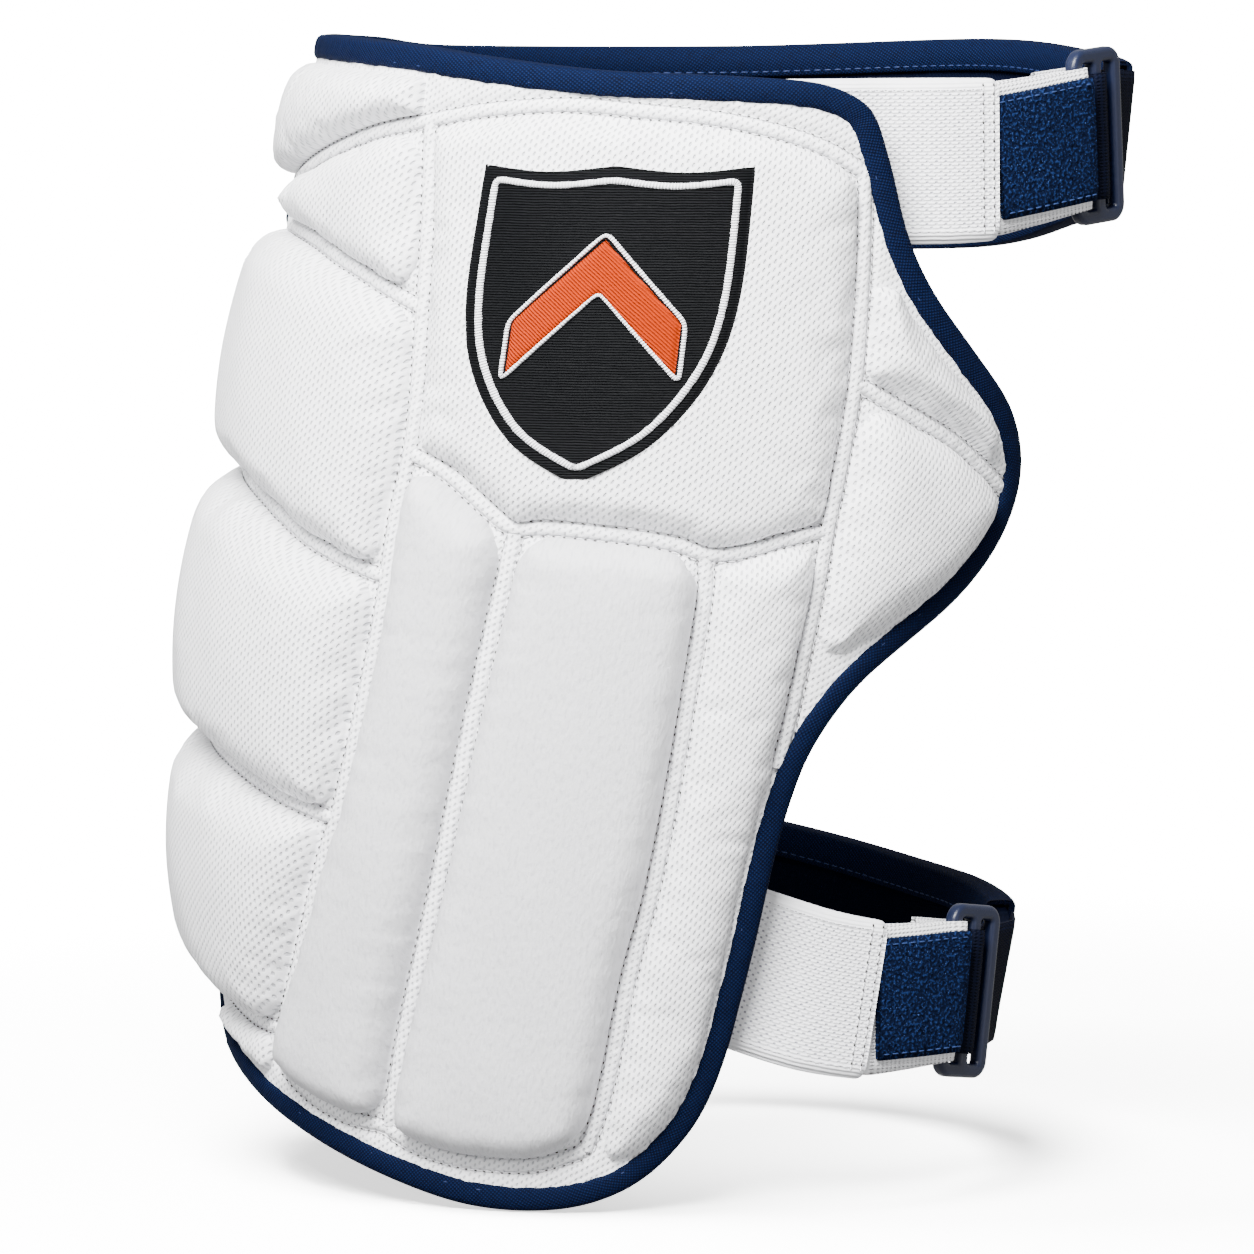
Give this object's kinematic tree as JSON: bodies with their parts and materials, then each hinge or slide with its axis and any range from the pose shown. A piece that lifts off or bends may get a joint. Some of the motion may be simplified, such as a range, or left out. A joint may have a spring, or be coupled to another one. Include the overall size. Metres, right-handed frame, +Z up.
{
  "type": "padded thigh guard",
  "caption": "Padded thigh guard worn round the leg: quilted white foam pads on a curved shell with navy tape binding, and two elastic straps with slides that close it.",
  "frame": {"origin": "on the axis of the thigh that it wraps, at 0.49 of the guard's height", "axes": "+Z up the standing wearer's leg as pictured, -Y out of the guard's front, +X towards the side with the slides; the thigh's axis leans 6.7 degrees to +X"},
  "size_m": [0.2667, 0.2004, 0.3125],
  "materials": {
    "lining": "dark navy brushed lining cloth",
    "facing": "white dimpled mesh cloth in the sewn channels",
    "pad_mesh": "white dimpled mesh cloth over foam",
    "pad_smooth": "white fine pebbled cloth over firm foam",
    "binding": "navy ribbed woven tape",
    "slide": "navy moulded plastic, satin",
    "elastic": "white woven elastic",
    "loop_patch": "navy hook-and-loop pile",
    "thread_black": "black satin-stitch embroidery",
    "thread_white": "white satin-stitch embroidery",
    "thread_orange": "orange satin-stitch embroidery"
  },
  "bodies": {
    "root": {"lining": "lining", "facing": "facing", "top_roll": "pad_mesh", "corner_pad": "pad_mesh", "emblem_pad": "pad_mesh", "side_pad_1": "pad_mesh", "side_pad_2": "pad_mesh", "side_pad_3": "pad_mesh", "side_foot": "pad_mesh", "bar_left": "pad_smooth", "bar_centre": "pad_smooth", "bar_right": "pad_mesh", "wing_lower": "pad_mesh", "wing_upper": "pad_mesh", "edge_binding": "binding", "upper_arm": "lining", "upper_arm_top_tape": "binding", "upper_arm_bottom_tape": "binding", "upper_web": "binding", "upper_slide": "slide", "upper_elastic": "elastic", "upper_tab": "elastic", "upper_patch": "loop_patch", "lower_arm": "lining", "lower_arm_top_tape": "binding", "lower_arm_bottom_tape": "binding", "lower_web": "binding", "lower_slide": "slide", "lower_elastic": "elastic", "lower_tab": "elastic", "lower_patch": "loop_patch", "emblem_ground": "thread_black", "emblem_line": "thread_white", "emblem_chevron": "thread_orange"}
  },
  "joints": []
}
